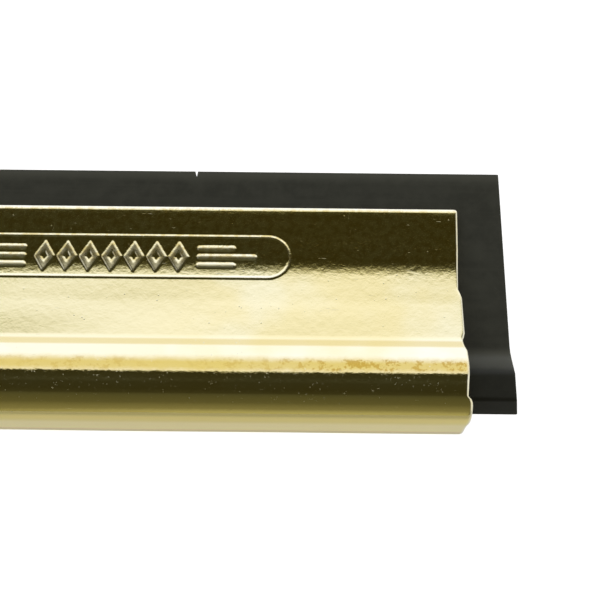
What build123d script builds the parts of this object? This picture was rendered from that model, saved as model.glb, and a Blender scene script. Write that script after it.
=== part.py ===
"""Window cleaning squeegee with a folded brass channel, a rubber blade and a two-screw brass handle.

Frame: X runs along the blade, +Y points to the wiping edge, +Z is the marked face, up.
The origin is the bottom centre of the whole object, on the surface that it lies on.
Sections are drawn in millimetres with y = 0 at the back of the channel's bead and z = 0 in the
blade's middle plane, and every piece is moved into the frame when it is written.
"""

import os
from math import cos, hypot, radians, sin

from build123d import *

# Channel: brass sheet, folded round the rubber's head.
# The outside of its upper half as (y, z, outside radius), from the free edge back to the bead.
CHANNEL_LENGTH = 304.8
SHEET = 0.7
EDGE_RADIUS = 0.3
CHANNEL_OUTSIDE = [
    (23.2, 1.75, 0.0),
    (16.2, 1.84, 14.0),
    (12.4, 2.42, 16.0),
    (8.3, 3.15, 1.2),
    (4.45, 4.5, 1.4),
    (2.2, 4.5, 1.0),
    (0.0, 3.91, 2.6),
]

# Rubber blade, cut with ends that lean out towards its underside
RUBBER_OVERHANG = 4.6
END_LEAN = 1.3
LIP_Y = 27.6
LIP_HALF = 1.0
ROOT_HALF = 1.05
ROOT_Y = 7.2
HEAD_HALF = 3.0
HEAD_FRONT_Y = 5.0
HEAD_BACK_Y = 2.2
HEAD_CORNER = 0.4

# Spring clips that keep the rubber in the channel's ends
CLIP_SHEET = 0.35
CLIP_LENGTH = 15.0
CLIP_INSET = 1.0
CLIP_GAP = 0.05
CLIP_ARM_Y = 4.9

# Clamp at the head of the handle
JAW_HALF_WIDTH = 30.0
JAW_FRONT_Y = 10.2
JAW_GAP = 0.1
HOOK_Y = 7.2
HOOK_BLUNT = 0.9
PLATE_TOP = 8.6
PLATE_REAR_Y = -13.5
PLATE_UNDER = 1.2
SHELF_Z = 0.6
FOOT_Z = -9.0

# Clamp screws, M5
SCREW_X = 18.0
SCREW_Y = -6.2
SCREW_RADIUS = 2.5
TAPPED_RADIUS = 2.55
CLEAR_RADIUS = 2.75
SCREW_TIP_Z = -6.0
TAPPED_DEPTH = 8.4
SEAT_Z = 7.2
SEAT_RADIUS = 5.4
WASHER_RADIUS = 4.4
WASHER_HEIGHT = 1.1
WASHER_SPLIT = 0.8
HEAD_RADIUS = 4.7
HEAD_HEIGHT = 3.4
SLOT_WIDTH = 1.2
SLOT_DEPTH = 1.7
KNURLS = 24

# Stem and grip
STEM_RADIUS = 10.6
STEM_Z = 4.0
STEM_START_Y = -36.0
STEM_END_Y = -138.8
SOCKET_RADIUS = 9.0
SOCKET_LENGTH = 60.0
SOCKET_TAPER = 30.0
SOCKET_BOTTOM_RADIUS = 6.0
GRIP_RADIUS = STEM_Z - FOOT_Z
GRIP_FRONT_Y = -44.0
GRIP_END_Y = -140.0
GRIP_MOUTH = 9.6
GROOVES = 13
GROOVE_PITCH = 6.2
GROOVE_RADIUS = 1.3

TO_FRAME = Pos(0, -(LIP_Y + GRIP_END_Y) / 2, -FOOT_Z)


def along_x(face, length):
    """A solid of this YZ outline, centred on x = 0."""
    return extrude(Plane.YZ * face, amount=length / 2, both=True)


def closed_face(*edges):
    return make_face(Curve() + list(edges))


def beside(points, distance):
    """The polyline at this distance to the left of the given one, which runs towards -y."""
    moved = []
    for (y0, z0), (y1, z1) in zip(points, points[1:]):
        length = hypot(y1 - y0, z1 - z0)
        shift = (-(z1 - z0) / length * distance, (y1 - y0) / length * distance)
        moved.append(((y0 + shift[0], z0 + shift[1]), (y1 - y0, z1 - z0)))
    corners = [moved[0][0]]
    for (a, u), (b, v) in zip(moved, moved[1:]):
        cross = u[0] * v[1] - u[1] * v[0]
        step = ((b[0] - a[0]) * v[1] - (b[1] - a[1]) * v[0]) / cross
        corners.append((a[0] + step * u[0], a[1] + step * u[1]))
    last, along = moved[-1]
    corners.append((last[0] + along[0], last[1] + along[1]))
    return corners


def channel_profile(distance):
    """Corners and radii of the channel's upper half, this far outside its outer surface."""
    points = [(y, z) for y, z, _ in CHANNEL_OUTSIDE] + [(0.0, 0.0)]
    hollow = [False, True, True, True, False, False, False]
    radii = [r - distance if inward else r + distance for (_, _, r), inward in zip(CHANNEL_OUTSIDE, hollow)]
    return beside(points, -distance), radii


def channel():
    """The folded sheet: its outside and inside outlines, joined by a rounded free edge each side."""
    outer, outer_radii = channel_profile(0.0)
    inner, inner_radii = channel_profile(-SHEET)
    outer_radii[0] = inner_radii[0] = EDGE_RADIUS
    half = [(y, z, r) for (y, z), r in zip(outer, outer_radii)]
    lining = [(y, z, r) for (y, z), r in zip(inner, inner_radii)]
    outline = half + [(y, -z, r) for y, z, r in reversed(half)]
    outline += [(y, -z, r) for y, z, r in lining] + list(reversed(lining))
    path = FilletPolyline(
        *[(y, z) for y, z, _ in outline], radius=[radius for _, _, radius in outline], close=True
    )
    return along_x(make_face(path), CHANNEL_LENGTH)


def rubber_blade():
    """Blade with a thick head that the bead holds, and a square lip."""
    upper = [
        (LIP_Y, LIP_HALF, 0),
        (ROOT_Y, ROOT_HALF, 1.2),
        (HEAD_FRONT_Y, HEAD_HALF, 0.9),
        (HEAD_BACK_Y, HEAD_HALF, HEAD_CORNER),
    ]
    outline = upper + [(y, -z, radius) for y, z, radius in reversed(upper)]
    path = FilletPolyline(
        *[(y, z) for y, z, _ in outline],
        radius=[radius for _, _, radius in outline],
        close=True,
    )
    top_half = CHANNEL_LENGTH / 2 + RUBBER_OVERHANG
    low_half = top_half + END_LEAN
    front = make_face(
        Polyline(
            (-top_half, HEAD_HALF),
            (top_half, HEAD_HALF),
            (low_half, -HEAD_HALF),
            (-low_half, -HEAD_HALF),
            close=True,
        )
    )
    return along_x(make_face(path), 2 * low_half) & extrude(Plane.XZ * front, amount=LIP_Y + 1, both=True)


def rubber_clip(side):
    """U-shaped spring clip round the back of the rubber's head, at one end of the channel."""
    inner_half = HEAD_HALF + CLIP_GAP
    inner_back = HEAD_BACK_Y - CLIP_GAP
    outer_half = inner_half + CLIP_SHEET
    outer_back = inner_back - CLIP_SHEET
    width = CLIP_ARM_Y - outer_back
    outside = fillet(
        (Pos(outer_back + width / 2, 0) * Rectangle(width, 2 * outer_half)).vertices().group_by(Axis.X)[0],
        HEAD_CORNER + CLIP_SHEET,
    )
    inside = fillet(
        (Pos(inner_back + width / 2, 0) * Rectangle(width, 2 * inner_half)).vertices().group_by(Axis.X)[0],
        HEAD_CORNER,
    )
    centre = side * (CHANNEL_LENGTH / 2 - CLIP_INSET - CLIP_LENGTH / 2)
    return Pos(centre, 0, 0) * along_x(outside - inside, CLIP_LENGTH)


def jaw_seat(end_z, side):
    """A jaw's face round the bead: from its hook over the crest to end_z behind the bead."""
    points, radii = channel_profile(JAW_GAP)
    (y0, z0), (y1, z1) = points[3:5]
    hook_z = z0 + (z1 - z0) * (HOOK_Y - y0) / (y1 - y0)
    seat = [(HOOK_Y, side * hook_z)] + [(y, side * z) for y, z in points[4:7]] + [(points[6][0], end_z)]
    return FilletPolyline(*seat, radius=radii[4:7])


def plan_outline(front_half, rear_half, front_y, rear_y, corner):
    """A jaw seen from above: straight ends and sides that draw in towards the handle."""
    waist_y = front_y - 15
    points = [
        (front_half, front_y),
        (front_half, waist_y),
        (rear_half, rear_y),
        (-rear_half, rear_y),
        (-front_half, waist_y),
        (-front_half, front_y),
    ]
    return make_face(FilletPolyline(*points, radius=corner, close=True))


def clamp_plate():
    """Upper jaw: hooks over the bead, rests on its heel, and is drawn down by two screws."""
    heel_y = PLATE_REAR_Y + 2.6
    seat = jaw_seat(PLATE_UNDER, 1)
    hook, under = seat @ 0, seat @ 1
    nose = (JAW_FRONT_Y, hook.Y)
    brow = (JAW_FRONT_Y, hook.Y + HOOK_BLUNT)
    crown = Spline(
        (PLATE_REAR_Y, 3.6),
        (PLATE_REAR_Y + 3.5, 6.6),
        (0.5, PLATE_TOP),
        (JAW_FRONT_Y - 2.6, 7.2),
        brow,
    )
    section = closed_face(
        crown,
        Line(brow, nose),
        Line(nose, hook),
        seat,
        Line(under, (heel_y, PLATE_UNDER)),
        Line((heel_y, PLATE_UNDER), (heel_y, SHELF_Z)),
        Line((heel_y, SHELF_Z), (PLATE_REAR_Y, SHELF_Z)),
        Line((PLATE_REAR_Y, SHELF_Z), (PLATE_REAR_Y, 3.6)),
    )
    plan = plan_outline(JAW_HALF_WIDTH, 23.5, JAW_FRONT_Y, PLATE_REAR_Y, 4.0)
    plate = along_x(section, 2 * JAW_HALF_WIDTH) & extrude(plan, amount=PLATE_TOP + 2)
    for x in (-SCREW_X, SCREW_X):
        plate -= Pos(x, SCREW_Y, SEAT_Z + 3) * Cylinder(SEAT_RADIUS, 6)
        plate -= Pos(x, SCREW_Y, 5) * Cylinder(CLEAR_RADIUS, 20)
    return plate


def head_section(y, width, low, high, corner):
    """A rounded section of the handle's neck, across Y."""
    plane = Plane(origin=(0, y, (low + high) / 2), x_dir=(1, 0, 0), z_dir=(0, -1, 0))
    return plane * RectangleRounded(width, high - low, corner)


def handle_casting():
    """Lower jaw, neck and hollow stem in one brass casting."""
    seat = jaw_seat(SHELF_Z, -1)
    hook, shelf = seat @ 0, seat @ 1
    nose = (JAW_FRONT_Y, hook.Y)
    brow = (JAW_FRONT_Y, hook.Y - HOOK_BLUNT)
    rear_y = PLATE_REAR_Y - 2.5
    section = closed_face(
        seat,
        Line(shelf, (rear_y, SHELF_Z)),
        Line((rear_y, SHELF_Z), (rear_y, FOOT_Z)),
        Line((rear_y, FOOT_Z), (4.0, FOOT_Z)),
        Spline((4.0, FOOT_Z), (JAW_FRONT_Y - 2.2, -7.4), brow, tangents=[(1, 0), (0.4, 1)]),
        Line(brow, nose),
        Line(nose, hook),
    )
    plan = Pos(0, 0, FOOT_Z - 1) * plan_outline(JAW_HALF_WIDTH, 25.0, JAW_FRONT_Y, rear_y, 4.0)
    jaw = along_x(section, 2 * JAW_HALF_WIDTH) & extrude(plan, amount=20)
    stem_low, stem_high = STEM_Z - STEM_RADIUS, STEM_Z + STEM_RADIUS
    neck = loft(
        [
            head_section(rear_y + 1.5, 49.0, FOOT_Z + 0.4, SHELF_Z, 3.0),
            head_section(rear_y - 6.0, 38.0, FOOT_Z + 0.9, 6.0, 5.5),
            head_section(rear_y - 13.0, 25.0, FOOT_Z + 1.8, 11.5, 8.5),
            head_section(STEM_START_Y, 2 * STEM_RADIUS, stem_low, stem_high, STEM_RADIUS - 0.05),
        ]
    )
    stem_length = STEM_START_Y - STEM_END_Y
    stem = Pos(0, STEM_END_Y + stem_length / 2, STEM_Z) * Rot(90, 0, 0) * Cylinder(STEM_RADIUS, stem_length)
    socket_end = STEM_END_Y + SOCKET_LENGTH
    socket = Pos(0, STEM_END_Y + SOCKET_LENGTH / 2, STEM_Z) * Rot(90, 0, 0) * Cylinder(SOCKET_RADIUS, SOCKET_LENGTH)
    taper = Pos(0, socket_end + SOCKET_TAPER / 2, STEM_Z) * Rot(-90, 0, 0) * Cone(
        SOCKET_RADIUS, SOCKET_BOTTOM_RADIUS, SOCKET_TAPER
    )
    casting = jaw + neck + stem - socket - taper
    for x in (-SCREW_X, SCREW_X):
        casting -= Pos(x, SCREW_Y, SHELF_Z - TAPPED_DEPTH / 2) * Cylinder(TAPPED_RADIUS, TAPPED_DEPTH)
    return casting


def clamp_screw(side):
    """Slotted screw with a knurled head; its shank runs in the tapped hole with a running clearance."""
    head_low = SEAT_Z + WASHER_HEIGHT
    head = Pos(0, 0, head_low + HEAD_HEIGHT / 2) * Cylinder(HEAD_RADIUS, HEAD_HEIGHT)
    head = chamfer(head.edges().filter_by(GeomType.CIRCLE).group_by(Axis.Z)[-1], 0.5)
    flute = Cylinder(0.45, HEAD_HEIGHT)
    for turn in range(KNURLS):
        angle = radians(360 * turn / KNURLS)
        head -= Pos(
            (HEAD_RADIUS + 0.15) * cos(angle), (HEAD_RADIUS + 0.15) * sin(angle), head_low + HEAD_HEIGHT / 2
        ) * flute
    head -= Pos(0, 0, head_low + HEAD_HEIGHT) * Box(3 * HEAD_RADIUS, SLOT_WIDTH, 2 * SLOT_DEPTH)
    shank_length = head_low - SCREW_TIP_Z
    shank = Pos(0, 0, SCREW_TIP_Z + shank_length / 2) * Cylinder(SCREW_RADIUS, shank_length)
    shank = chamfer(shank.edges().filter_by(GeomType.CIRCLE).group_by(Axis.Z)[0], 0.6)
    return Pos(side * SCREW_X, SCREW_Y, 0) * (head + shank)


def lock_washer(side):
    """Split spring washer under the screw's head."""
    centre = Pos(side * SCREW_X, SCREW_Y, SEAT_Z + WASHER_HEIGHT / 2)
    ring = Cylinder(WASHER_RADIUS, WASHER_HEIGHT) - Cylinder(CLEAR_RADIUS, 2 * WASHER_HEIGHT)
    ring -= Pos(0, -WASHER_RADIUS, 0) * Box(WASHER_SPLIT, 2 * WASHER_RADIUS, 2 * WASHER_HEIGHT)
    return centre * ring


def grip_sleeve():
    """Ribbed rubber sleeve stretched over the stem, with a rolled end round the socket's mouth."""
    length = GRIP_FRONT_Y - GRIP_END_Y
    tube = Pos(0, GRIP_END_Y + length / 2, STEM_Z) * Rot(90, 0, 0) * Cylinder(GRIP_RADIUS, length)
    tube = fillet(tube.edges().filter_by(GeomType.CIRCLE), 1.6)
    covered = GRIP_FRONT_Y - STEM_END_Y
    tube -= Pos(0, STEM_END_Y + covered / 2, STEM_Z) * Rot(90, 0, 0) * Cylinder(STEM_RADIUS, covered)
    tube -= Pos(0, GRIP_END_Y, STEM_Z) * Rot(90, 0, 0) * Cylinder(GRIP_MOUTH, 6)
    first_y = (GRIP_FRONT_Y + GRIP_END_Y) / 2 - GROOVE_PITCH * (GROOVES - 1) / 2
    for number in range(GROOVES):
        groove = Rot(90, 0, 0) * Torus(GRIP_RADIUS + 0.35, GROOVE_RADIUS)
        tube -= Pos(0, first_y + number * GROOVE_PITCH, STEM_Z) * groove
    return tube


PIECES = {
    "channel": channel(),
    "rubber_blade": rubber_blade(),
    "rubber_clip_left": rubber_clip(-1),
    "rubber_clip_right": rubber_clip(1),
    "handle_casting": handle_casting(),
    "clamp_plate": clamp_plate(),
    "clamp_screw_left": clamp_screw(-1),
    "clamp_screw_right": clamp_screw(1),
    "lock_washer_left": lock_washer(-1),
    "lock_washer_right": lock_washer(1),
    "grip_sleeve": grip_sleeve(),
}

os.makedirs("parts", exist_ok=True)
for name, piece in PIECES.items():
    export_step(TO_FRAME * piece, f"parts/{name}.step")
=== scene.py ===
"""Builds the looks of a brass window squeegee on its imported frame."""

from math import atan2, ceil, cos, radians, sin, tan

import bpy
import numpy as np
from bpy.props import FloatProperty, FloatVectorProperty, IntProperty, PointerProperty
from mathutils import Matrix, Vector, noise


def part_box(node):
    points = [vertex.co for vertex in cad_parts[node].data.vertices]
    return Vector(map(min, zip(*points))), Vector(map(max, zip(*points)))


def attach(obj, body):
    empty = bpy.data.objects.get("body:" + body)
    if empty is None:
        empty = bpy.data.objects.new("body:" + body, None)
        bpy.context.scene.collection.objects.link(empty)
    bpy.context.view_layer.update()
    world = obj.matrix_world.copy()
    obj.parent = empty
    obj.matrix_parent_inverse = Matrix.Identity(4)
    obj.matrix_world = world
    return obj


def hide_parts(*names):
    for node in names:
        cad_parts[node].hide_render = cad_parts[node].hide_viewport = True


bl_info = {
    "name": "Brass Window Squeegee",
    "version": (1, 0, 0),
    "blender": (4, 5, 0),
    "location": "View3D > Sidebar > Squeegee",
    "description": "Builds the pieces, finishes and studio of a brass window squeegee",
    "category": "Object",
}

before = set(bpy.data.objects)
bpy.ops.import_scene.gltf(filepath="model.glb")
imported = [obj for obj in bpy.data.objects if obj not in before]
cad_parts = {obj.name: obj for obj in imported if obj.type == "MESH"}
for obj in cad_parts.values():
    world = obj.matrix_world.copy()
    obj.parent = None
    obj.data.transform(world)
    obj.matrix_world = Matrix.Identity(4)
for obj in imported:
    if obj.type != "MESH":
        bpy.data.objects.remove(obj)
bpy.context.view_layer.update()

# Settings are in metres. Sections and finishes are worked out in millimetres.
MM = 0.001
CHANNEL_LOW, CHANNEL_HIGH = (Vector(corner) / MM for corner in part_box("channel"))
BACK_Y = CHANNEL_LOW.y
MIDDLE_Z = (CHANNEL_LOW.z + CHANNEL_HIGH.z) / 2
CHANNEL_END = CHANNEL_HIGH.x
RUBBER_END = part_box("rubber_blade")[1][0] / MM


# ---------------------------------------------------------------- settings


class ChannelSettings(bpy.types.PropertyGroup):
    sheet: FloatProperty(
        name="Sheet", description="Thickness of the brass sheet", default=0.7 * MM, unit="LENGTH"
    )
    column: FloatProperty(
        name="Column", description="Spacing of the mesh along the channel", default=2.4 * MM, unit="LENGTH"
    )
    stamp_x: FloatProperty(
        name="Band centre", description="Place of the stamped band along the channel",
        default=116.6 * MM, unit="LENGTH",
    )
    stamp_y: FloatProperty(
        name="Band height", description="Place of the stamped band, from the bead's back",
        default=17.3 * MM, unit="LENGTH",
    )
    stamp_length: FloatProperty(
        name="Band length", description="Length of the stamped band", default=36.6 * MM, unit="LENGTH"
    )
    stamp_width: FloatProperty(
        name="Band width", description="Width of the stamped band", default=4.6 * MM, unit="LENGTH"
    )
    stamp_rise: FloatProperty(
        name="Band rise", description="Height of the stamped lines", default=0.075 * MM, unit="LENGTH"
    )
    lozenges: IntProperty(
        name="Lozenges", description="Number of raised lozenges in the band", default=7
    )
    colour: FloatVectorProperty(
        name="Brass", description="Colour of the lacquered sheet",
        subtype="COLOR", default=(0.93, 0.83, 0.49),
    )
    pale: FloatVectorProperty(
        name="Pale brass", description="Colour of the paler clouds in the sheet",
        subtype="COLOR", default=(0.96, 0.91, 0.68),
    )
    # Golden line is partly painted light: the painted sheen along the ridge and the painted interreflection
    # in the crease; on the flange it is real mottling
    gold_mottle_and_painted_light: FloatVectorProperty(
        name="Golden line", description="Colour along the ridge and in the crease",
        subtype="COLOR", default=(0.64, 0.46, 0.05),
    )
    # Deep brass is painted shade: the dimly lit back of the bead drawn darker and deeper
    deep: FloatVectorProperty(
        name="Deep brass", description="Colour round the back of the bead",
        subtype="COLOR", default=(0.88, 0.75, 0.31),
    )
    # The pale edge colour is partly bare brass at the cut and partly a painted highlight on the rounded edges
    edge: FloatVectorProperty(
        name="Bare edge", description="Colour of the sheet's burnished edges",
        subtype="COLOR", default=(0.98, 0.94, 0.76),
    )
    tarnish: FloatVectorProperty(
        name="Tarnish", description="Colour where the lacquer has worn away",
        subtype="COLOR", default=(0.47, 0.27, 0.012),
    )


class RubberSettings(bpy.types.PropertyGroup):
    colour: FloatVectorProperty(
        name="Rubber", description="Colour of the blade's rubber",
        subtype="COLOR", default=(0.061, 0.061, 0.048),
    )
    end_lean: FloatProperty(
        name="End lean",
        description="How much further the blade's underside reaches than its top at the ends",
        default=1.3 * MM, unit="LENGTH",
    )
    head_proud: FloatProperty(
        name="Head proud", description="How far the head stands past the lip at the ends",
        default=0.35 * MM, unit="LENGTH",
    )
    nick_x: FloatProperty(
        name="Nick", description="Place of the nick in the lip along the blade",
        default=124.8 * MM, unit="LENGTH",
    )
    nick_depth: FloatProperty(
        name="Nick depth", description="Depth of the nick in the lip", default=0.6 * MM, unit="LENGTH"
    )


class HandleSettings(bpy.types.PropertyGroup):
    colour: FloatVectorProperty(
        name="Cast brass", description="Colour of the polished casting",
        subtype="COLOR", default=(0.88, 0.72, 0.38),
    )
    grip: FloatVectorProperty(
        name="Grip", description="Colour of the grip's rubber",
        subtype="COLOR", default=(0.016, 0.016, 0.016),
    )
    steel: FloatVectorProperty(
        name="Washer", description="Colour of the spring washers",
        subtype="COLOR", default=(0.55, 0.55, 0.56),
    )


class StudioSettings(bpy.types.PropertyGroup):
    distance: FloatProperty(
        name="Distance", description="Distance from the camera to the blade", default=0.1, unit="LENGTH"
    )
    tilt: FloatProperty(
        name="Tilt", description="Lean of the camera towards the handle", default=radians(20), subtype="ANGLE"
    )
    roll: FloatProperty(
        name="Roll", description="Roll of the camera", default=radians(0.6), subtype="ANGLE"
    )
    lens: FloatProperty(
        name="Lens", description="Focal length on a 36 mm frame", default=58.2, unit="CAMERA"
    )
    target_x: FloatProperty(
        name="Aim along the blade", description="Where the camera points along the blade",
        default=136.0 * MM, unit="LENGTH",
    )
    target_y: FloatProperty(
        name="Aim across the blade", description="Where the camera points, from the bead's back",
        default=13.4 * MM, unit="LENGTH",
    )
    floor_glow: FloatProperty(
        name="Floor glow", description="How bright the floor looks by itself", default=0.84
    )
    floor_bounce: FloatProperty(
        name="Floor bounce", description="How much light the floor throws onto the squeegee", default=0.3
    )


# ---------------------------------------------------------------- sections

# Spacing of the closely spaced points along a section's straights and round its bends
FINE_STEP = 0.04
FINE_TURN = radians(1)
# The turn that one face may make round a bend, and the spacing of points that any face would do with
FACE_TURN = radians(7.5)
ANY_SPACING = 1e9


def in_mm(settings, *names):
    """These lengths of a group of settings, in millimetres."""
    return [getattr(settings, name) / MM for name in names]


def fine_path(corners):
    """Closely spaced (y, z) points along a polyline with rounded corners, and the spacing each needs."""
    points, spacing = [], []

    def run(first, last):
        count = max(1, ceil((last - first).length / FINE_STEP))
        for step in range(count):
            points.append(first.lerp(last, step / count))
            spacing.append(ANY_SPACING)

    previous = Vector(corners[0][:2])
    for index in range(1, len(corners) - 1):
        here, radius = Vector(corners[index][:2]), corners[index][2]
        into = (here - previous).normalized()
        out = (Vector(corners[index + 1][:2]) - here).normalized()
        turn = atan2(into.x * out.y - into.y * out.x, into.dot(out))
        start = here - into * radius * tan(abs(turn) / 2)
        run(previous, start)
        centre = start + Vector((-into.y, into.x)) * (radius if turn > 0 else -radius)
        spoke = start - centre
        count = max(2, ceil(abs(turn) / FINE_TURN))
        for step in range(count):
            angle = turn * step / count
            turned = (
                spoke.x * cos(angle) - spoke.y * sin(angle),
                spoke.x * sin(angle) + spoke.y * cos(angle),
            )
            points.append(centre + Vector(turned))
            spacing.append(radius * FACE_TURN)
        previous = here + out * radius * tan(abs(turn) / 2)
    run(previous, Vector(corners[-1][:2]))
    points.append(Vector(corners[-1][:2]))
    spacing.append(ANY_SPACING)
    return np.array([tuple(point) for point in points]), np.array(spacing)


def section(corners, wanted, rim=(0.0,)):
    """Points, outward normals and distances from the start of a rounded polyline.

    wanted gives the spacing at a distance back from the bead; rim lists the distances near the start
    that must have a point.
    """
    fine, needed = fine_path(corners)
    steps = np.hypot(*np.diff(fine, axis=0).T)
    along = np.concatenate([[0], np.cumsum(steps)])
    spacing = np.minimum(needed, [wanted(y) for y in fine[:, 0]])
    density = np.where(along >= rim[-1], 1 / spacing, 0)
    total = np.concatenate([[0], np.cumsum((density[1:] + density[:-1]) / 2 * steps)])
    marks = np.linspace(0, total[-1], max(3, ceil(total[-1])) + 1)
    places = np.concatenate([rim, np.interp(marks[1:], total, along)])
    tangent = np.gradient(fine, along, axis=0)
    normal = np.stack([tangent[:, 1], -tangent[:, 0]], axis=1)
    normal /= np.linalg.norm(normal, axis=1)[:, None]

    def at(values):
        return np.stack([np.interp(places, along, values[:, k]) for k in (0, 1)], axis=1)

    normals = at(normal)
    normals /= np.linalg.norm(normals, axis=1)[:, None]
    return at(fine), normals, places


def round_over(gap, radius):
    """How far an edge rounded to this radius has dropped at a gap from its end."""
    inside = np.minimum(gap, radius)
    return radius - np.sqrt(np.clip(radius**2 - (radius - inside) ** 2, 0, None))


def skin(name, points, faces):
    """A mesh from points in millimetres."""
    mesh = bpy.data.meshes.new(name)
    mesh.from_pydata([tuple(point * MM) for point in points], [], faces)
    if mesh.validate():
        raise RuntimeError(f"{name} has broken faces")
    return mesh


def new_piece(name, mesh, material, body, node):
    """A smooth piece that rides on a body in place of its CAD node."""
    mesh.shade_smooth()
    mesh.materials.append(material)
    piece = bpy.data.objects.new(name, mesh)
    bpy.context.scene.collection.objects.link(piece)
    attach(piece, body)
    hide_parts(node)
    return piece


# ---------------------------------------------------------------- stamped band

# Half width and sloping side of the outline, the lozenges and the bars
OUTLINE_LINE = (0.02, 0.17)
LOZENGE_LINE = (0.17, 0.2)
BAR_LINE = (0.14, 0.2)
OUTLINE_HEIGHT = 0.75
LOZENGE_PITCH = 2.3
LOZENGE_HALF_LENGTH = 0.7
LOZENGE_HALF_WIDTH = 1.15
# Millimetres across a lozenge's line for each part in one of its size
LOZENGE_SCALE = 0.6
BAR_GAP = 1.0
# The bars' rows across the band, with each bar's length
BARS = ((0.95, 3.4), (0.0, 5.6), (-0.95, 3.4))


def ridge(distance, half, slope):
    """Height share of a stamped line at a distance from its centre line."""
    share = np.clip((half + slope - np.abs(distance)) / slope, 0, 1)
    return share * share * (3 - 2 * share)


def stamped_band(x, y, length, width, lozenges):
    """Height share at a place from the band's centre: an outline round a row of lozenges and bars."""

    def from_segment(middle, half, row):
        return np.hypot(np.maximum(np.abs(x - middle) - half, 0), y - row)

    outline = from_segment(0.0, (length - width) / 2, 0.0) - width / 2
    height = OUTLINE_HEIGHT * ridge(outline, *OUTLINE_LINE)
    for number in range(lozenges):
        centre = (number - (lozenges - 1) / 2) * LOZENGE_PITCH
        lozenge = np.abs(x - centre) / LOZENGE_HALF_LENGTH + np.abs(y) / LOZENGE_HALF_WIDTH - 1
        height = np.maximum(height, ridge(lozenge * LOZENGE_SCALE, *LOZENGE_LINE))
    for side in (-1, 1):
        for row, bar in BARS:
            middle = side * (lozenges * LOZENGE_PITCH / 2 + BAR_GAP + bar / 2)
            height = np.maximum(height, ridge(from_segment(middle, bar / 2, row), *BAR_LINE))
    return height


# ---------------------------------------------------------------- channel

# The upper half's section: distance from the bead's back, height over the middle, and bend radius
CHANNEL_CORNERS = (
    (23.2, 1.75, 0.0),
    (16.2, 1.84, 14.0),
    (12.4, 2.42, 16.0),
    (8.3, 3.15, 1.2),
    (4.45, 4.5, 1.4),
    (2.2, 4.5, 1.0),
    (0.0, 3.91, 2.6),
    (0.0, 0.0, 0.0),
)
# How far the flange's rounded edge and the sheared ends' burnished edge reach back
EDGE_REACH = 0.62
END_REACH = 0.42
# How far each side of a sheared end is rounded down, the radius of the flange's corners, and how far
# in from the end they reach
END_DROP = 0.25
CORNER_RADIUS = 0.35
CORNER_REACH = 1.0
# Angles round the flange's edge that have a row of points
EDGE_ANGLES = (8, 20, 32, 44, 56, 68, 79, 90)
# Distances in from a sheared end that have a column of points
END_GAPS = (0.0, 0.02, 0.07, 0.14, 0.22, 0.32, END_REACH, 0.7, 1.1, 1.8, 3.0)
# How far the right-hand end stands from square, by distance walked from the upper flange's edge round
# the back, what it comes to at the lower flange's edge, and how far from the end it fades out
SHEARED_END = (
    (0, 0.02), (0.8, 0.01), (4.8, -0.11), (9.5, -0.35), (9.9, -0.01), (14.4, -0.05),
    (15.0, -0.3), (15.6, -0.2), (16.2, 0.05), (18.0, 0.07), (21.3, -0.25), (21.7, 0.15),
    (23.5, 0.14), (26.0, 0.0), (29.0, 0.1), (33.0, 0.2),
)
LAST_SHEAR = 0.1
SHEAR_REACH = 3.0
# Size and pace of the left-hand end's uneven cut, and of the sheet's slight sway
LEFT_SHEAR, LEFT_PACE = 0.18, 0.35
SWAY, SWAY_PACE_ALONG, SWAY_PACE_ROUND = 0.028, 0.07, 0.25
# Spacing of the mesh in the stamped band and elsewhere, with a hair's play, and the room left round
# the band
STAMP_SPACING = 0.1
PLAIN_SPACING = 0.5
HAIR = 0.01
STAMP_ROOM_ALONG = 0.8
STAMP_ROOM_ACROSS = 0.7
# How far the pale edge colour reaches in from the flange's edge and the ends: partly bare brass, partly a
# painted highlight on the rounded edges
BURNISH_AND_HIGHLIGHT_EDGE = 0.6
BURNISH_AND_HIGHLIGHT_END = 0.35


def channel_columns(column, stamp_from, stamp_to):
    """Places along the channel that have a column of points, and whether all its rows have it."""
    last = END_GAPS[-1]
    stretches = [-CHANNEL_END + last, stamp_from, stamp_to, CHANNEL_END - last]
    coarse = [-CHANNEL_END + gap for gap in END_GAPS[:-1]]
    for low, high in zip(stretches, stretches[1:]):
        count = ceil((high - low) / column)
        coarse += [low + (high - low) * step / count for step in range(count)]
    coarse += [CHANNEL_END - gap for gap in END_GAPS[::-1]]
    columns = []
    for low, high in zip(coarse, coarse[1:]):
        stamped = low > stamp_from - HAIR and high < stamp_to + HAIR
        count = ceil((high - low) / STAMP_SPACING) if stamped else 1
        columns += [(low + (high - low) * step / count, step == 0) for step in range(count)]
    return columns + [(coarse[-1], True)]


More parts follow.
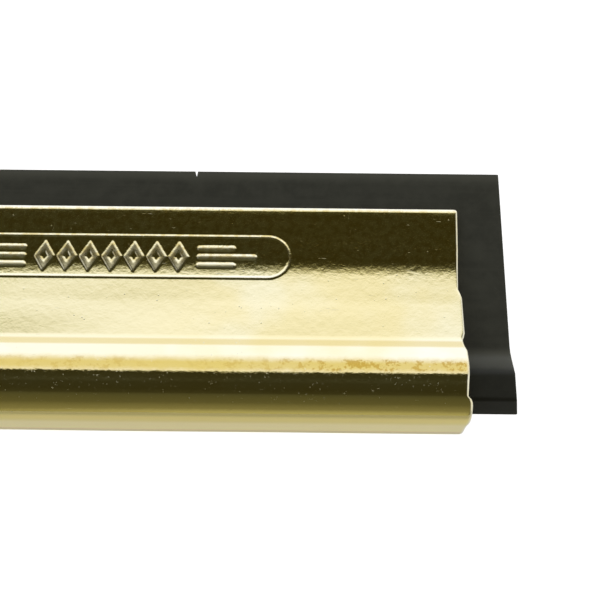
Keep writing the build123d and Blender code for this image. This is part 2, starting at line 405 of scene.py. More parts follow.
def build_channel(settings, material):
    """The folded sheet as one skin: outside, inside, rounded edges and sheared ends."""
    sheet, column, rise_of_stamp = in_mm(settings, "sheet", "column", "stamp_rise")
    stamp_x, stamp_y, length, width = in_mm(settings, "stamp_x", "stamp_y", "stamp_length", "stamp_width")
    half = sheet / 2
    stamp_low = stamp_y - width / 2 - STAMP_ROOM_ACROSS
    stamp_high = stamp_y + width / 2 + STAMP_ROOM_ACROSS
    stamp_from = stamp_x - length / 2 - STAMP_ROOM_ALONG
    stamp_to = stamp_x + length / 2 + STAMP_ROOM_ALONG

    def wanted(y):
        return STAMP_SPACING if stamp_low <= y <= stamp_high else PLAIN_SPACING

    rim = [EDGE_REACH * (1 - cos(radians(angle))) for angle in EDGE_ANGLES]
    points, normals, walked = section(CHANNEL_CORNERS, wanted, rim)
    first_row = int(np.argmax(points[:, 0] <= stamp_high))
    last_row = int(np.argmax(points[:, 0] <= stamp_low))
    points = np.concatenate([points, points[-2::-1] * (1, -1)])
    normals = np.concatenate([normals, normals[-2::-1] * (1, -1)])
    walked = np.concatenate([walked, 2 * walked[-1] - walked[-2::-1]])
    rows = len(points)
    to_edge = np.minimum(walked, walked[-1] - walked)
    thick = half * (1 - round_over(to_edge / EDGE_REACH, 1.0))

    columns = channel_columns(column, stamp_from, stamp_to)
    gap = CHANNEL_END - np.abs([place for place, _ in columns])
    drop = END_DROP / half * round_over(gap / END_REACH, 1.0)
    blend = np.clip(1 - gap / SHEAR_REACH, 0, 1) ** 2
    corner = round_over(to_edge, CORNER_RADIUS)
    shear = np.array([*SHEARED_END, (walked[-1], LAST_SHEAR)])
    right_shift = np.interp(walked, shear[:, 0], shear[:, 1])
    left_shift = [LEFT_SHEAR * noise.noise(Vector((step * LEFT_PACE, 7.0, 0.0))) for step in walked]

    outside, inside, vertices, marks, edges = {}, {}, [], [], []
    for i, (place, on_all_rows) in enumerate(columns):
        shift = right_shift if place > 0 else left_shift
        for j in range(rows):
            if not on_all_rows and not first_row <= j <= last_row:
                continue
            grow = shift[j] * blend[i] - corner[j] * max(0.0, 1 - gap[i] / CORNER_REACH)
            across = place + (grow if place > 0 else -grow)
            sway = SWAY * noise.noise(Vector((place * SWAY_PACE_ALONG, walked[j] * SWAY_PACE_ROUND, 3.0)))
            lift = thick[j] * (1 - drop[i])
            base = points[j] - normals[j] * half
            mark = 0.0
            if first_row < j < last_row and stamp_from < place < stamp_to:
                stamp_place = (place - stamp_x, points[j][0] - stamp_y)
                mark = float(stamped_band(*stamp_place, length, width, settings.lozenges))
            outside[i, j] = len(vertices)
            marks.append(mark)
            edges.append(max(0.0, 1 - to_edge[j] / BURNISH_AND_HIGHLIGHT_EDGE, 1 - gap[i] / BURNISH_AND_HIGHLIGHT_END))
            vertices.append((across, *(base + normals[j] * (lift + sway + mark * rise_of_stamp))))
            if on_all_rows:
                inside[i, j] = len(vertices)
                marks.append(0.0)
                edges.append(0.0)
                vertices.append((across, *(base + normals[j] * (sway - lift))))
    vertices = np.array(vertices) + (0, BACK_Y, MIDDLE_Z)

    faces = []
    whole = [i for i, (_, on_all_rows) in enumerate(columns) if on_all_rows]
    for j in range(rows - 1):
        if first_row <= j < last_row:
            for i in range(len(columns) - 1):
                faces.append((outside[i, j], outside[i + 1, j], outside[i + 1, j + 1], outside[i, j + 1]))
            continue
        for a, b in zip(whole, whole[1:]):
            near = [outside[i, j] for i in (range(a, b + 1) if j == last_row else (a, b))]
            far = [outside[i, j + 1] for i in (range(b, a - 1, -1) if j + 1 == first_row else (b, a))]
            faces.append(tuple(near + far))
    for a, b in zip(whole, whole[1:]):
        for j in range(rows - 1):
            faces.append((inside[a, j], inside[a, j + 1], inside[b, j + 1], inside[b, j]))
        faces.append((outside[a, 0], inside[a, 0], inside[b, 0], outside[b, 0]))
        faces.append((outside[a, rows - 1], outside[b, rows - 1], inside[b, rows - 1], inside[a, rows - 1]))
    for i, flip in ((whole[0], False), (whole[-1], True)):
        for j in range(rows - 1):
            ring = (outside[i, j], outside[i, j + 1], inside[i, j + 1], inside[i, j])
            faces.append(ring[::-1] if flip else ring)
    mesh = skin("channel_sheet", vertices, faces)
    for name, values in (("stamped", marks), ("burnish_and_highlight", edges)):
        mesh.attributes.new(name, "FLOAT", "POINT").data.foreach_set("value", values)
    return new_piece("channel_sheet", mesh, material, "channel", "channel")


# ---------------------------------------------------------------- rubber

# The blade's section: where its lip ends, and where its head begins and how thick half of it is
LIP_TIP = 27.6
HEAD_FRONT = 5.0
HEAD_HALF = 3.0
RUBBER_CORNERS = (
    (LIP_TIP, 0.0, 0.0),
    (LIP_TIP, 1.0, 0.09),
    (7.2, 1.05, 1.2),
    (HEAD_FRONT, HEAD_HALF, 0.9),
    (2.2, HEAD_HALF, 0.4),
    (2.2, 0.0, 0.0),
)
# Spacing of the mesh at the lip's tip and elsewhere round the section, and along the blade
TIP_REACH, TIP_SPACING, BODY_SPACING = 1.0, 0.12, 0.6
BLADE_COLUMN, NICK_COLUMN, NICK_ROOM = 4.0, 0.04, 0.5
RUBBER_EDGE = 0.12
RUBBER_END_GAPS = (0.0, 0.02, 0.06, 0.12, 0.5, 2.0)
# How far the nick opens from its middle, the last part of that on a slope
NICK_HALF, NICK_SLOPE = 0.12, 0.05
# How far along from the end the head and the lean grow, and how far in front of the head it fades
END_GROWTH = 4.0
HEAD_FADE = 3.0


def build_rubber(settings, material):
    """The rubber blade with softened edges, leaning ends and a small nick in its lip."""
    end_lean, proud, nick, nick_depth = in_mm(settings, "end_lean", "head_proud", "nick_x", "nick_depth")
    points, normals, _ = section(
        RUBBER_CORNERS, lambda y: TIP_SPACING if y > LIP_TIP - TIP_REACH else BODY_SPACING
    )
    upper = len(points)
    ring = np.concatenate([points, points[-2:0:-1] * (1, -1)])
    outward = np.concatenate([normals, normals[-2:0:-1] * (1, -1)])
    half = RUBBER_END - end_lean
    last = RUBBER_END_GAPS[-1]
    marks = [-half + last, nick - NICK_ROOM, nick + NICK_ROOM, half - last]
    stations = [-half + gap for gap in RUBBER_END_GAPS[:-1]]
    for low, high, pace in zip(marks, marks[1:], (BLADE_COLUMN, NICK_COLUMN, BLADE_COLUMN)):
        count = ceil((high - low) / pace)
        stations += [low + (high - low) * step / count for step in range(count)]
    stations += [half - gap for gap in RUBBER_END_GAPS[::-1]]
    vertices = []
    for place in stations:
        gap = half - abs(place)
        loop = ring - outward * round_over(gap, RUBBER_EDGE)
        depth = nick_depth * min(1.0, max(0.0, (NICK_HALF - abs(place - nick)) / NICK_SLOPE))
        if depth > 0:
            loop[:, 0] = np.minimum(loop[:, 0], LIP_TIP - depth)
        near = max(0.0, 1 - gap / END_GROWTH)
        in_front = np.clip((loop[:, 0] - HEAD_FRONT) / HEAD_FADE, 0, 1)
        under = (HEAD_HALF - loop[:, 1]) / (2 * HEAD_HALF)
        lean = near * (end_lean * under - proud * in_front)
        vertices += [(place + (shift if place > 0 else -shift), y, z) for (y, z), shift in zip(loop, lean)]
    vertices = np.array(vertices) + (0, BACK_Y, MIDDLE_Z)
    count = len(ring)
    faces = []
    for station in range(len(stations) - 1):
        a, b = station * count, (station + 1) * count
        for j in range(count):
            k = (j + 1) % count
            faces.append((a + j, b + j, b + k, a + k))
    for start, flip in ((0, False), ((len(stations) - 1) * count, True)):
        for j in range(upper - 1):
            corners = [start + k for k in (j, j + 1, (count - j - 1) % count, (count - j) % count)]
            corners = list(dict.fromkeys(corners))
            faces.append(tuple(corners[::-1] if flip else corners))
    mesh = skin("blade_rubber", vertices, faces)
    return new_piece("blade_rubber", mesh, material, "rubber", "rubber_blade")


# ---------------------------------------------------------------- finishes

# Strips along the channel's upper side, as distances from the bead's back: from, to and soft edge
GRITTY_STRIP = (1.6, 4.4, 0.3)
RUBBED_STRIP = (3.9, 4.7, 0.6)
WORN_STRIP = (4.85, 5.7, 0.3)
RIDGE_SHEEN_STRIP = (5.0, 5.35, 1.05)
CREASE_SHADE_STRIP = (7.55, 7.95, 0.3)
DIMPLED_STRIP = (15.8, 18.5, 1.8)
MOTTLED_STRIP = (17.2, 23.5, 1.0)
# Where the painted shade on the bead's back begins, and where it is as deep as it gets
BACK_SHADE_FROM, BACK_SHADE_TO = 3.6, 1.6
# Distances in from the channel's ends where the paler sheet begins and is palest, and where the wear is
# full and fades
PALE_FROM, PALE_TO = 10, 45
WORN_TO, WORN_FADE = 13, 21
# The rubber's painted light: shade on its back, a highlight along the line where the lip leaves the head, and
# a highlight on the lip's tip
BACK_SHADE_FACE = (2.7, 2.3)
ROOT_HIGHLIGHT_START, ROOT_HIGHLIGHT_END = (5.1, 7.0), (8.3, 7.5)
TIP_HIGHLIGHT_LINE = (26.0, 27.5)


def shade(colour, amount):
    """A colour made darker or paler."""
    return tuple(part * amount for part in colour)


class Finish:
    """A procedural material, with short ways to add the nodes that a finish is made of."""

    def __init__(self, name):
        self.material = bpy.data.materials.new(name)
        self.material.use_nodes = True
        self.tree = self.material.node_tree
        self.shader = self.tree.nodes["Principled BSDF"]
        place = self.add("ShaderNodeTexCoord")
        scaled = self.add("ShaderNodeVectorMath", operation="SCALE")
        self.tree.links.new(place.outputs["Object"], scaled.inputs[0])
        scaled.inputs["Scale"].default_value = 1 / MM
        self.place = scaled.outputs[0]

    def add(self, kind, **settings):
        node = self.tree.nodes.new(kind)
        for name, value in settings.items():
            setattr(node, name, value)
        return node

    def feed(self, socket, value):
        """Links or sets a socket; a colour gets its alpha."""
        if isinstance(value, bpy.types.NodeSocket):
            self.tree.links.new(value, socket)
        elif hasattr(value, "__len__"):
            socket.default_value = (*value, 1.0)[: len(socket.default_value)]
        else:
            socket.default_value = value

    def math(self, operation, *values):
        node = self.add("ShaderNodeMath", operation=operation)
        for socket, value in zip(node.inputs, values):
            self.feed(socket, value)
        return node.outputs[0]

    def plus(self, base, share, amount):
        """base plus this much of share."""
        return self.math("MULTIPLY_ADD", share, amount, base)

    def both(self, first, second):
        """The part of one mask that lies in another, or a mask made weaker."""
        return self.math("MULTIPLY", first, second)

    def stretched(self, scale, turn=0.0):
        node = self.add("ShaderNodeMapping")
        self.feed(node.inputs["Vector"], self.place)
        self.feed(node.inputs["Scale"], scale)
        self.feed(node.inputs["Rotation"], (0, 0, turn))
        return node.outputs[0]

    def cloud(self, scale=1.0, detail=3.0, rough=0.55, place=None):
        node = self.add("ShaderNodeTexNoise")
        self.feed(node.inputs["Vector"], place or self.place)
        self.feed(node.inputs["Scale"], scale)
        self.feed(node.inputs["Detail"], detail)
        self.feed(node.inputs["Roughness"], rough)
        return node.outputs[0]

    def dots(self, scale, size):
        """1 inside small scattered dots, 0 elsewhere."""
        node = self.add("ShaderNodeTexVoronoi")
        self.feed(node.inputs["Vector"], self.place)
        self.feed(node.inputs["Scale"], scale)
        return self.band(node.outputs["Distance"], size, size * 0.5)

    def band(self, value, start, full):
        """Rises smoothly from 0 at start to 1 at full, whichever of them is the higher."""
        node = self.add("ShaderNodeMapRange", interpolation_type="SMOOTHSTEP")
        self.feed(node.inputs["Value"], value)
        self.feed(node.inputs["From Min"], min(start, full))
        self.feed(node.inputs["From Max"], max(start, full))
        self.feed(node.inputs["To Min"], 0.0 if start < full else 1.0)
        self.feed(node.inputs["To Max"], 1.0 if start < full else 0.0)
        return node.outputs["Result"]

    def lay(self, below, above, share):
        """One colour over another, by the share that a mask gives."""
        node = self.add("ShaderNodeMix", data_type="RGBA")
        self.feed(node.inputs[0], share)
        self.feed(node.inputs[6], below)
        self.feed(node.inputs[7], above)
        return node.outputs[2]

    def axis(self, name):
        node = self.add("ShaderNodeSeparateXYZ")
        self.feed(node.inputs[0], self.place)
        return node.outputs[name]

    def mark(self, name):
        """A mask that the mesh carries."""
        return self.add("ShaderNodeAttribute", attribute_name=name).outputs["Fac"]

    def bump(self, height, distance, under=None, strength=1.0):
        """Relief this many millimetres high, over the relief under it."""
        node = self.add("ShaderNodeBump")
        self.feed(node.inputs["Height"], height)
        self.feed(node.inputs["Distance"], distance * MM)
        self.feed(node.inputs["Strength"], strength)
        if under is not None:
            self.feed(node.inputs["Normal"], under)
        return node.outputs[0]

    def set(self, **values):
        for name, value in values.items():
            self.feed(self.shader.inputs[name.replace("_", " ").title().replace("Ior", "IOR")], value)
        return self.material


def channel_finish(settings):
    """Rolled brass under lacquer: grain along the sheet, specks, fine scratches, and wear on the ridge, with
    painted sheen on the ridge and edges and painted shade in the crease and round the bead's back.
    """
    brass = Finish("lacquered_brass_sheet")
    across, high = brass.axis("Y"), brass.axis("Z")
    from_middle = brass.math("ABSOLUTE", brass.axis("X"))
    upper_side = brass.band(high, MIDDLE_Z, MIDDLE_Z + 1)
    ripple = brass.plus(-0.5, brass.cloud(0.7, 3.0, 0.7), 1.0)
    wavy = brass.math("ADD", across, ripple)
    gently_wavy = brass.plus(across, ripple, 0.45)

    def strip(limits, value=across):
        """1 inside a strip of the upper side, 0 outside it."""
        low, top, soft = limits
        rising = brass.band(value, BACK_Y + low - soft, BACK_Y + low)
        falling = brass.band(value, BACK_Y + top + soft, BACK_Y + top)
        return brass.both(brass.both(rising, falling), upper_side)

    # Brass, paler in clouds and away from the ends, with painted shade round the back of the bead: a deeper,
    # darker brass where its reflection is dim
    clouds = brass.band(brass.cloud(0.12, 2.0, 0.5), 0.35, 0.7)
    away = brass.band(from_middle, CHANNEL_END - PALE_FROM, CHANNEL_END - PALE_TO)
    paler = brass.math("MAXIMUM", clouds, brass.both(away, 0.7))
    colour = brass.lay(settings.colour, settings.pale, paler)
    painted_back_shade = brass.band(across, BACK_Y + BACK_SHADE_FROM, BACK_Y + BACK_SHADE_TO)
    colour = brass.lay(colour, settings.deep, painted_back_shade)

    # A painted golden sheen along the ridge, where its reflection fades from pale to dark, and real wear
    # there: its lacquer worn off in clumps that gather towards the ends
    ends = brass.band(from_middle, CHANNEL_END - WORN_FADE, CHANNEL_END - WORN_TO)
    elsewhere = brass.band(brass.cloud(0.07, 1.0, 0.5), 0.4, 0.6)
    region = brass.plus(brass.both(elsewhere, 0.3), ends, 0.7)
    clumps = brass.band(brass.cloud(0.9, 5.0, 0.75), 0.5, 0.56)
    wear = brass.both(strip(WORN_STRIP, wavy), brass.both(clumps, region))
    # Painted reflection: a golden band along the ridge, below its highlight
    colour = brass.lay(colour, settings.gold_mottle_and_painted_light, brass.both(strip(RIDGE_SHEEN_STRIP, gently_wavy), 0.82))
    colour = brass.lay(colour, settings.tarnish, brass.both(wear, 0.9))

    # Painted shade in the crease, a darker and more orange golden tone where light bounces inside it, a
    # mottled flange, painted shade low on the back, and pale edges that are partly bare brass and partly a
    # painted highlight
    # Painted shade: the crease drawn darker and more golden
    colour = brass.lay(colour, settings.gold_mottle_and_painted_light, brass.both(strip(CREASE_SHADE_STRIP), 0.5))
    mottle = brass.both(brass.band(brass.cloud(1.3, 4.0, 0.7), 0.42, 0.6), strip(MOTTLED_STRIP))
    colour = brass.lay(colour, settings.gold_mottle_and_painted_light, brass.both(mottle, 0.5))
    # Painted shade: the lower part of the bead's back darkened where it reflects the shaded floor beside it
    below_middle = brass.band(high, MIDDLE_Z - 0.8, MIDDLE_Z - 1.6)
    above_fold = brass.band(high, MIDDLE_Z - 3.6, MIDDLE_Z - 2.9)
    painted_low_shade = brass.both(below_middle, above_fold)
    colour = brass.lay(colour, shade(settings.deep, 0.5), brass.both(painted_low_shade, 0.6))
    # Partly bare brass, partly a painted highlight: the rounded edges drawn near-white
    colour = brass.lay(colour, settings.edge, brass.mark("burnish_and_highlight"))

    # Specks, grit on the dark side of the bead, and scratches both ways
    specks = brass.both(brass.dots(1.1, 0.11), brass.band(brass.cloud(0.35), 0.42, 0.6))
    colour = brass.lay(colour, settings.pale, brass.both(specks, 0.6))
    grains = brass.band(brass.cloud(3.2, 4.0, 0.7), 0.59, 0.72)
    patches = brass.band(brass.cloud(0.45), 0.44, 0.56)
    grit = brass.both(brass.both(grains, patches), strip(GRITTY_STRIP))
    colour = brass.lay(colour, settings.pale, brass.both(grit, 0.4))
    scratched = [
        brass.band(brass.cloud(1.0, 2.0, 0.5, brass.stretched(scale, turn)), 0.75, 0.81)
        for scale, turn in (((0.5, 14.0, 14.0), 0.12), ((9.0, 0.5, 0.5), 0.35))
    ]
    scratches = brass.math("MAXIMUM", *scratched)

    metal = brass.plus(brass.plus(1.0, specks, -0.2), grit, -0.18)
    rough = brass.plus(0.06, brass.cloud(1.0, 4.0, 0.6, brass.stretched((0.04, 1.6, 1.6))), 0.06)
    for mask, amount in ((scratches, 0.1), (wear, 0.2), (grit, 0.3), (brass.mark("stamped"), 0.2)):
        rough = brass.plus(rough, mask, amount)

    relief = brass.bump(brass.cloud(0.9, 5.0, 0.65), 0.013)
    relief = brass.bump(brass.both(brass.cloud(2.0, 3.0, 0.6), strip(DIMPLED_STRIP)), 0.017, relief)
    relief = brass.bump(brass.both(brass.cloud(1.6, 4.0, 0.65), strip(RUBBED_STRIP)), 0.035, relief)
    raised = brass.math("ADD", scratches, brass.math("ADD", specks, grit))
    relief = brass.bump(raised, 0.006, relief, strength=0.7)
    return brass.set(base_color=colour, metallic=metal, roughness=rough, normal=relief)


def rubber_finish(settings):
    """Moulded black rubber: fine grain, streaks and dust, with painted highlights along the lip's tip and the
    head's root, and painted shade on the head and its back.
    """
    rubber = Finish("blade_rubber")
    across = rubber.axis("Y")
    black = settings.colour
    # A paler grey, used for the painted highlights along the lip's tip and the head's root
    worn = tuple(part + 0.008 for part in shade(black, 2.1))
    colour = rubber.lay(black, shade(black, 1.35), rubber.band(rubber.cloud(0.5, 4.0, 0.6), 0.3, 0.75))
    streaks = rubber.band(rubber.cloud(1.0, 3.0, 0.6, rubber.stretched((0.05, 1.3, 1.3))), 0.45, 0.65)
    colour = rubber.lay(colour, shade(black, 1.3), rubber.both(streaks, 0.5))
    # Painted highlight: a paler line along the rounded tip of the lip
    tip = rubber.band(across, *(BACK_Y + place for place in TIP_HIGHLIGHT_LINE))
    colour = rubber.lay(colour, worn, rubber.both(tip, 0.7))
    # Painted shade: the wide head, sitting in the channel's bead, drawn darker than the lip
    from_middle = rubber.math("ABSOLUTE", rubber.math("SUBTRACT", rubber.axis("Z"), MIDDLE_Z))
    head = rubber.band(from_middle, 2.2, HEAD_HALF)
    colour = rubber.lay(colour, shade(black, 0.3), rubber.both(head, 0.6))
    # Painted shade: the head's back face, turned away from the light, drawn darker
    back = rubber.band(across, *(BACK_Y + place for place in BACK_SHADE_FACE))
    colour = rubber.lay(colour, shade(black, 0.45), back)
    # Painted highlight: a paler strip where the lip leaves the head, on the fillet that faces the light
    starts, ends = (
        rubber.band(across, *(BACK_Y + place for place in limits)) for limits in (ROOT_HIGHLIGHT_START, ROOT_HIGHLIGHT_END)
    )
    colour = rubber.lay(colour, worn, rubber.both(rubber.both(starts, ends), 0.9))
    colour = rubber.lay(colour, (0.25, 0.25, 0.22), rubber.both(rubber.dots(2.2, 0.07), 0.25))
    grain = rubber.cloud(9.0, 4.0, 0.65)
    rough = rubber.plus(rubber.plus(0.42, grain, 0.2), back, 0.4)
    relief = rubber.bump(grain, 0.006)
    return rubber.set(base_color=colour, roughness=rough, specular_ior_level=0.1, normal=relief)


def cast_finish(settings):
    """Polished cast brass with a soft grain, pits and slight tarnish."""
    brass = Finish("polished_cast_brass")
    tarnish = brass.band(brass.cloud(0.15, 4.0, 0.6), 0.4, 0.7)
    colour = brass.lay(settings.colour, shade(settings.colour, 0.8), tarnish)
    colour = brass.lay(colour, (0.2, 0.12, 0.04), brass.both(brass.dots(0.9, 0.07), 0.6))
    hairlines = brass.band(brass.cloud(1.0, 2.0, 0.5, brass.stretched((8.0, 0.4, 8.0), 0.2)), 0.6, 0.75)
    rough = brass.plus(brass.plus(0.14, brass.cloud(2.0), 0.14), hairlines, 0.1)
    relief = brass.bump(brass.cloud(0.8, 3.0, 0.6), 0.02)
    relief = brass.bump(hairlines, 0.003, relief, strength=0.6)
    return brass.set(base_color=colour, metallic=1.0, roughness=rough, normal=relief)


def turned_finish(name, colour, scale):
    """Turned or drawn metal with fine lines."""
    metal = Finish(name)
    lines = metal.cloud(1.0, 2.0, 0.5, metal.stretched(scale))
    tint = metal.lay(colour, shade(colour, 0.82), metal.band(metal.cloud(0.6), 0.35, 0.7))
    rough = metal.plus(0.14, lines, 0.2)
    return metal.set(base_color=tint, metallic=1.0, roughness=rough, normal=metal.bump(lines, 0.006))


def grip_finish(settings):
    """Matt moulded rubber with a pebbled skin."""
    rubber = Finish("grip_rubber")
    pebble = rubber.cloud(2.4, 3.0, 0.6)
    worn = rubber.band(rubber.cloud(0.2, 4.0), 0.35, 0.7)
    tint = rubber.lay(settings.grip, shade(settings.grip, 1.7), worn)
    rough = rubber.plus(0.5, pebble, 0.25)
    return rubber.set(base_color=tint, roughness=rough, normal=rubber.bump(pebble, 0.05))


def soften(node, name, material, body, voxel, rounds):
    """Stands for a cast CAD piece, its sharp edges rounded off as casting and polishing leave them."""
    mould = bpy.data.objects.new(name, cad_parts[node].data.copy())
    bpy.context.scene.collection.objects.link(mould)
    remesh = mould.modifiers.new("remesh", "REMESH")
    remesh.mode = "VOXEL"
    remesh.voxel_size = voxel * MM
    polish = mould.modifiers.new("polish", "SMOOTH")
    polish.factor = 0.5
    polish.iterations = rounds
    shape = bpy.data.meshes.new_from_object(mould.evaluated_get(bpy.context.evaluated_depsgraph_get()))
    bpy.data.objects.remove(mould)
    shape.name = name
    shape.materials.clear()
    return new_piece(name, shape, material, body, node)


def refinish(node, material):
    """Gives a CAD piece this finish in all its slots."""
    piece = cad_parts[node]
    if not piece.material_slots:
        raise RuntimeError(f"{node} has no material slot")
    for slot in piece.material_slots:
        slot.material = material


# ---------------------------------------------------------------- studio

FLOOR_REACH = 3.0
# How far from the bead's back the floor's light fades away, and how much is left there
BOUNCE_FADE = 60.0
BOUNCE_LEFT = 0.05
# The room's light by direction, from the handle's side (-1) to the wiping edge's side (1)
ROOM = (
    (-1.00, (0.46, 0.45, 0.31)),
    (-0.97, (0.36, 0.35, 0.23)),
    (-0.92, (0.23, 0.22, 0.135)),
    (-0.64, (0.12, 0.115, 0.065)),
    (-0.20, (0.085, 0.083, 0.045)),
    (0.25, (0.034, 0.030, 0.010)),
    (0.50, (0.038, 0.033, 0.009)),
    (0.545, (0.36, 0.34, 0.17)),
    (0.58, (0.84, 0.82, 0.66)),
    (0.64, (1.07, 1.07, 1.07)),
    (0.74, (1.11, 1.13, 1.18)),
    (0.85, (1.12, 1.17, 1.42)),
    (1.00, (1.25, 1.3, 1.5)),
)
# The light past the blade's ends: directions where it begins and is full, and how bright that is
SIDE_FROM, SIDE_TO, SIDE_LIGHT = 0.5, 0.85, 0.9


def lay_floor(settings):
    """A wide pale floor that glows softly, so that nothing on it sits in deep shade."""
    mesh = bpy.data.meshes.new("floor")
    corners = [(x * FLOOR_REACH, y * FLOOR_REACH, 0) for x, y in ((-1, -1), (1, -1), (1, 1), (-1, 1))]
    mesh.from_pydata(corners, [], [(0, 1, 2, 3)])
    floor = bpy.data.objects.new("floor", mesh)
    bpy.context.scene.collection.objects.link(floor)
    finish = Finish("pale_floor")
    seen = finish.add("ShaderNodeLightPath").outputs["Is Camera Ray"]
    away = finish.math("ABSOLUTE", finish.math("SUBTRACT", finish.axis("Y"), BACK_Y))
    bounce = finish.plus(BOUNCE_LEFT, finish.band(away, BOUNCE_FADE, 0.0), settings.floor_bounce)
    glow = finish.math("MAXIMUM", bounce, finish.both(seen, settings.floor_glow))
    finish.set(
        base_color=(0.9, 0.9, 0.9), roughness=0.9, specular_ior_level=0.1,
        emission_color=(1.0, 1.0, 1.0), emission_strength=glow,
    )
    mesh.materials.append(finish.material)


def light_studio():
    """A room dark overhead and towards the handle, and bright past the wiping edge and both ends."""
    world = bpy.data.worlds.new("studio")
    bpy.context.scene.world = world
    world.use_nodes = True
    nodes, links = world.node_tree.nodes, world.node_tree.links
    nodes.clear()

    def lay(blend, share, below, above):
        """A colour mixed over another; each is a socket or a colour."""
        node = nodes.new("ShaderNodeMix")
        node.data_type = "RGBA"
        node.blend_type = blend
        for socket, value in ((node.inputs[0], share), (node.inputs[6], below), (node.inputs[7], above)):
            if isinstance(value, bpy.types.NodeSocket):
                links.new(value, socket)
            else:
                socket.default_value = value
        return node.outputs[2]

    def spread(value, interpolation, **limits):
        """Maps a direction from one range to another."""
        node = nodes.new("ShaderNodeMapRange")
        node.interpolation_type = interpolation
        for name, limit in limits.items():
            node.inputs[name.replace("_", " ").title()].default_value = limit
        links.new(value, node.inputs["Value"])
        return node.outputs["Result"]

    place = nodes.new("ShaderNodeTexCoord")
    split = nodes.new("ShaderNodeSeparateXYZ")
    links.new(place.outputs["Generated"], split.inputs[0])
    room = nodes.new("ShaderNodeValToRGB")
    links.new(spread(split.outputs["Y"], "LINEAR", from_min=-1.0), room.inputs[0])
    while len(room.color_ramp.elements) < len(ROOM):
        room.color_ramp.elements.new(0.5)
    for element, (direction, colour) in zip(room.color_ramp.elements, ROOM):
        element.position = (direction + 1) / 2
        element.color = (*colour, 1)
    sideways = nodes.new("ShaderNodeMath")
    sideways.operation = "ABSOLUTE"
    links.new(split.outputs["X"], sideways.inputs[0])
    side = spread(
        sideways.outputs[0], "SMOOTHSTEP", from_min=SIDE_FROM, from_max=SIDE_TO, to_min=0.0, to_max=SIDE_LIGHT
    )
    seen = nodes.new("ShaderNodeLightPath").outputs["Is Camera Ray"]
    light = lay("MIX", seen, lay("LIGHTEN", 1.0, room.outputs[0], side), (1, 1, 1, 1))
    background = nodes.new("ShaderNodeBackground")
    links.new(light, background.inputs[0])
    output = nodes.new("ShaderNodeOutputWorld")
    links.new(background.outputs[0], output.inputs[0])


def set_camera(settings):
    """Looks down on the channel's right-hand end, leaning towards the handle."""
    target_x, target_y = in_mm(settings, "target_x", "target_y")
    target = Vector((target_x, BACK_Y + target_y, MIDDLE_Z)) * MM
    back = Vector((0, -sin(settings.tilt), cos(settings.tilt)))
    level, upright = Vector((1, 0, 0)), Vector((0, cos(settings.tilt), sin(settings.tilt)))
    right = level * cos(settings.roll) + upright * sin(settings.roll)
    up = upright * cos(settings.roll) - level * sin(settings.roll)
    data = bpy.data.cameras.new("camera")
    data.lens = settings.lens
    data.sensor_width = 36.0
    data.clip_start = 0.005
    camera = bpy.data.objects.new("camera", data)
    place = target + back * settings.distance
    camera.matrix_world = Matrix((
        (right.x, up.x, back.x, place.x),
        (right.y, up.y, back.y, place.y),
        (right.z, up.z, back.z, place.z),
        (0, 0, 0, 1),
    ))
    bpy.context.scene.collection.objects.link(camera)
    bpy.context.scene.camera = camera


# ---------------------------------------------------------------- operators


class SQUEEGEE_OT_channel(bpy.types.Operator):
    """Build the folded brass channel with its stamped band"""

    bl_idname = "squeegee.channel"
    bl_label = "Channel"

    def execute(self, context):
        settings = context.scene.squeegee_channel
        build_channel(settings, channel_finish(settings))
        return {"FINISHED"}


class SQUEEGEE_OT_rubber(bpy.types.Operator):
    """Build the rubber blade with its nicked lip"""

    bl_idname = "squeegee.rubber"
    bl_label = "Rubber blade"

    def execute(self, context):
        settings = context.scene.squeegee_rubber
        build_rubber(settings, rubber_finish(settings))
        return {"FINISHED"}


class SQUEEGEE_OT_clips(bpy.types.Operator):
    """Finish the spring clips at the channel's ends"""

    bl_idname = "squeegee.clips"
    bl_label = "Rubber clips"

    def execute(self, context):
        finish = turned_finish("clip_brass", context.scene.squeegee_handle.colour, (0.4, 6.0, 6.0))
        for node in ("rubber_clip_left", "rubber_clip_right"):
            refinish(node, finish)
        return {"FINISHED"}


class SQUEEGEE_OT_handle(bpy.types.Operator):
    """Build the handle's casting and the clamp plate with softened edges"""

    bl_idname = "squeegee.handle"
    bl_label = "Handle and clamp plate"

    def execute(self, context):
        finish = cast_finish(context.scene.squeegee_handle)
        soften("handle_casting", "handle_cast", finish, "handle", voxel=0.6, rounds=6)
        soften("clamp_plate", "clamp_plate_cast", finish, "clamp", voxel=0.4, rounds=7)
        return {"FINISHED"}


class SQUEEGEE_OT_screws(bpy.types.Operator):
    """Finish the clamp screws and their spring washers"""

    bl_idname = "squeegee.screws"
    bl_label = "Screws and washers"

    def execute(self, context):
        settings = context.scene.squeegee_handle
        brass = turned_finish("turned_brass", settings.colour, (1.0, 1.0, 9.0))
        steel = turned_finish("spring_steel", settings.steel, (1.0, 1.0, 5.0))
        for side in ("left", "right"):
            refinish(f"clamp_screw_{side}", brass)
            refinish(f"lock_washer_{side}", steel)
        return {"FINISHED"}


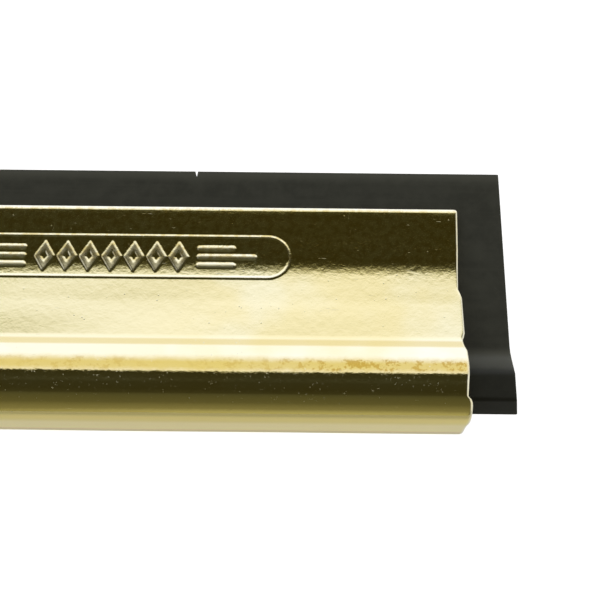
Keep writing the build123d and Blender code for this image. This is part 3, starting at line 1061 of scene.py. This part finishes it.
class SQUEEGEE_OT_grip(bpy.types.Operator):
    """Finish the ribbed rubber grip"""

    bl_idname = "squeegee.grip"
    bl_label = "Grip"

    def execute(self, context):
        refinish("grip_sleeve", grip_finish(context.scene.squeegee_handle))
        return {"FINISHED"}


class SQUEEGEE_OT_studio(bpy.types.Operator):
    """Set up the pale floor, the soft light and the camera"""

    bl_idname = "squeegee.studio"
    bl_label = "Studio"

    def execute(self, context):
        settings = context.scene.squeegee_studio
        lay_floor(settings)
        light_studio()
        set_camera(settings)
        context.scene.view_settings.view_transform = "Standard"
        return {"FINISHED"}


# ---------------------------------------------------------------- add-on


OPERATORS = (
    SQUEEGEE_OT_channel,
    SQUEEGEE_OT_rubber,
    SQUEEGEE_OT_clips,
    SQUEEGEE_OT_handle,
    SQUEEGEE_OT_screws,
    SQUEEGEE_OT_grip,
    SQUEEGEE_OT_studio,
)
SETTINGS = {
    "squeegee_channel": ChannelSettings,
    "squeegee_rubber": RubberSettings,
    "squeegee_handle": HandleSettings,
    "squeegee_studio": StudioSettings,
}


class SQUEEGEE_PT_pieces(bpy.types.Panel):
    """Lists the squeegee's pieces and their settings"""

    bl_label = "Brass squeegee"
    bl_idname = "SQUEEGEE_PT_pieces"
    bl_space_type = "VIEW_3D"
    bl_region_type = "UI"
    bl_category = "Squeegee"

    def draw(self, context):
        for operator in OPERATORS:
            self.layout.operator(operator.bl_idname)
        for name, group in SETTINGS.items():
            box = self.layout.box()
            for setting in group.__annotations__:
                box.prop(getattr(context.scene, name), setting)


def register():
    for group in SETTINGS.values():
        bpy.utils.register_class(group)
    for name, group in SETTINGS.items():
        setattr(bpy.types.Scene, name, PointerProperty(type=group))
    for piece in (*OPERATORS, SQUEEGEE_PT_pieces):
        bpy.utils.register_class(piece)


def unregister():
    for piece in (SQUEEGEE_PT_pieces, *reversed(OPERATORS)):
        bpy.utils.unregister_class(piece)
    for name, group in SETTINGS.items():
        delattr(bpy.types.Scene, name)
        bpy.utils.unregister_class(group)


def main():
    register()
    for operator in OPERATORS:
        getattr(bpy.ops.squeegee, operator.bl_idname.split(".")[1])()


if __name__ == "__main__":
    main()
